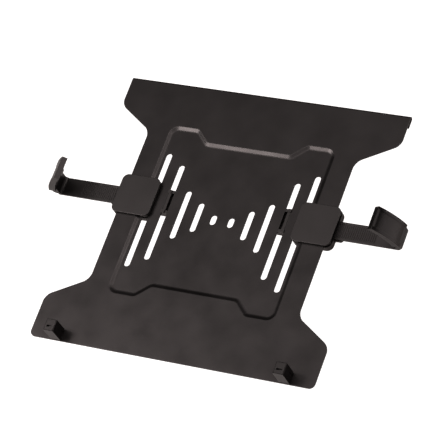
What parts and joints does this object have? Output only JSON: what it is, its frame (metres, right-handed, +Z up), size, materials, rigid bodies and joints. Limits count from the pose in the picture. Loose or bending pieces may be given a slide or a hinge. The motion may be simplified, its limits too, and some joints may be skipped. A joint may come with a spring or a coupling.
{
  "type": "laptop tray mount",
  "caption": "Pressed steel tray with a slotted, recessed middle for a stand or arm; front stops and sliding side clamps with hooked jaws hold a laptop.",
  "frame": {"origin": "middle of the slot pattern, on the underside of the recessed panel, which is fastened to an arm or stand", "axes": "+X to the right and +Y to the rear for someone using the laptop, +Z up, away from the arm or stand"},
  "size_m": [0.361, 0.2783, 0.0435],
  "materials": {
    "tray_plate": "satin black powder coat",
    "left_stop": "smooth moulded",
    "left_stop_screw": "black zinc plated",
    "left_clamp_cover": "satin moulded",
    "left_clamp_housing": "satin moulded",
    "left_clamp_lid": "satin moulded",
    "left_clamp_screw_1": "black zinc plated",
    "left_clamp_screw_2": "black zinc plated",
    "left_clamp_screw_3": "black zinc plated",
    "left_clamp_screw_4": "black zinc plated",
    "left_detent_spring": "cold rolled spring strip",
    "left_arm_strap": "satin moulded, ribbed on top",
    "left_strap_pin": "black zinc plated",
    "left_jaw": "satin moulded",
    "left_jaw_pad": "soft, dull",
    "left_jaw_screw_1": "black zinc plated",
    "left_jaw_screw_2": "black zinc plated",
    "right_stop": "smooth moulded",
    "right_stop_screw": "black zinc plated",
    "right_clamp_cover": "satin moulded",
    "right_clamp_housing": "satin moulded",
    "right_clamp_lid": "satin moulded",
    "right_clamp_screw_1": "black zinc plated",
    "right_clamp_screw_2": "black zinc plated",
    "right_clamp_screw_3": "black zinc plated",
    "right_clamp_screw_4": "black zinc plated",
    "right_detent_spring": "cold rolled spring strip",
    "right_arm_strap": "satin moulded, ribbed on top",
    "right_strap_pin": "black zinc plated",
    "right_jaw": "satin moulded",
    "right_jaw_pad": "soft, dull",
    "right_jaw_screw_1": "black zinc plated",
    "right_jaw_screw_2": "black zinc plated"
  },
  "bodies": {
    "tray": {"tray_plate": "tray_plate", "left_stop": "left_stop", "left_stop_screw": "left_stop_screw", "right_stop": "right_stop", "right_stop_screw": "right_stop_screw"},
    "left_clamp": {"left_clamp_cover": "left_clamp_cover", "left_clamp_housing": "left_clamp_housing", "left_clamp_lid": "left_clamp_lid", "left_clamp_screw_1": "left_clamp_screw_1", "left_clamp_screw_2": "left_clamp_screw_2", "left_clamp_screw_3": "left_clamp_screw_3", "left_clamp_screw_4": "left_clamp_screw_4", "left_detent_spring": "left_detent_spring"},
    "left_arm": {"left_arm_strap": "left_arm_strap", "left_strap_pin": "left_strap_pin", "left_jaw": "left_jaw", "left_jaw_pad": "left_jaw_pad", "left_jaw_screw_1": "left_jaw_screw_1", "left_jaw_screw_2": "left_jaw_screw_2"},
    "right_clamp": {"right_clamp_cover": "right_clamp_cover", "right_clamp_housing": "right_clamp_housing", "right_clamp_lid": "right_clamp_lid", "right_clamp_screw_1": "right_clamp_screw_1", "right_clamp_screw_2": "right_clamp_screw_2", "right_clamp_screw_3": "right_clamp_screw_3", "right_clamp_screw_4": "right_clamp_screw_4", "right_detent_spring": "right_detent_spring"},
    "right_arm": {"right_arm_strap": "right_arm_strap", "right_strap_pin": "right_strap_pin", "right_jaw": "right_jaw", "right_jaw_pad": "right_jaw_pad", "right_jaw_screw_1": "right_jaw_screw_1", "right_jaw_screw_2": "right_jaw_screw_2"}
  },
  "joints": [
    {"name": "left_clamp_slide", "type": "slide", "parent": "tray", "child": "left_clamp", "axis": [0, 1, 0], "range_m": [-0.0465, 0.025]},
    {"name": "left_arm_slide", "type": "slide", "parent": "left_clamp", "child": "left_arm", "axis": [-1, 0, 0], "range_m": [-0.036, 0.02]},
    {"name": "right_clamp_slide", "type": "slide", "parent": "tray", "child": "right_clamp", "axis": [0, 1, 0], "range_m": [-0.0465, 0.025]},
    {"name": "right_arm_slide", "type": "slide", "parent": "right_clamp", "child": "right_arm", "axis": [1, 0, 0], "range_m": [-0.036, 0.02]}
  ]
}
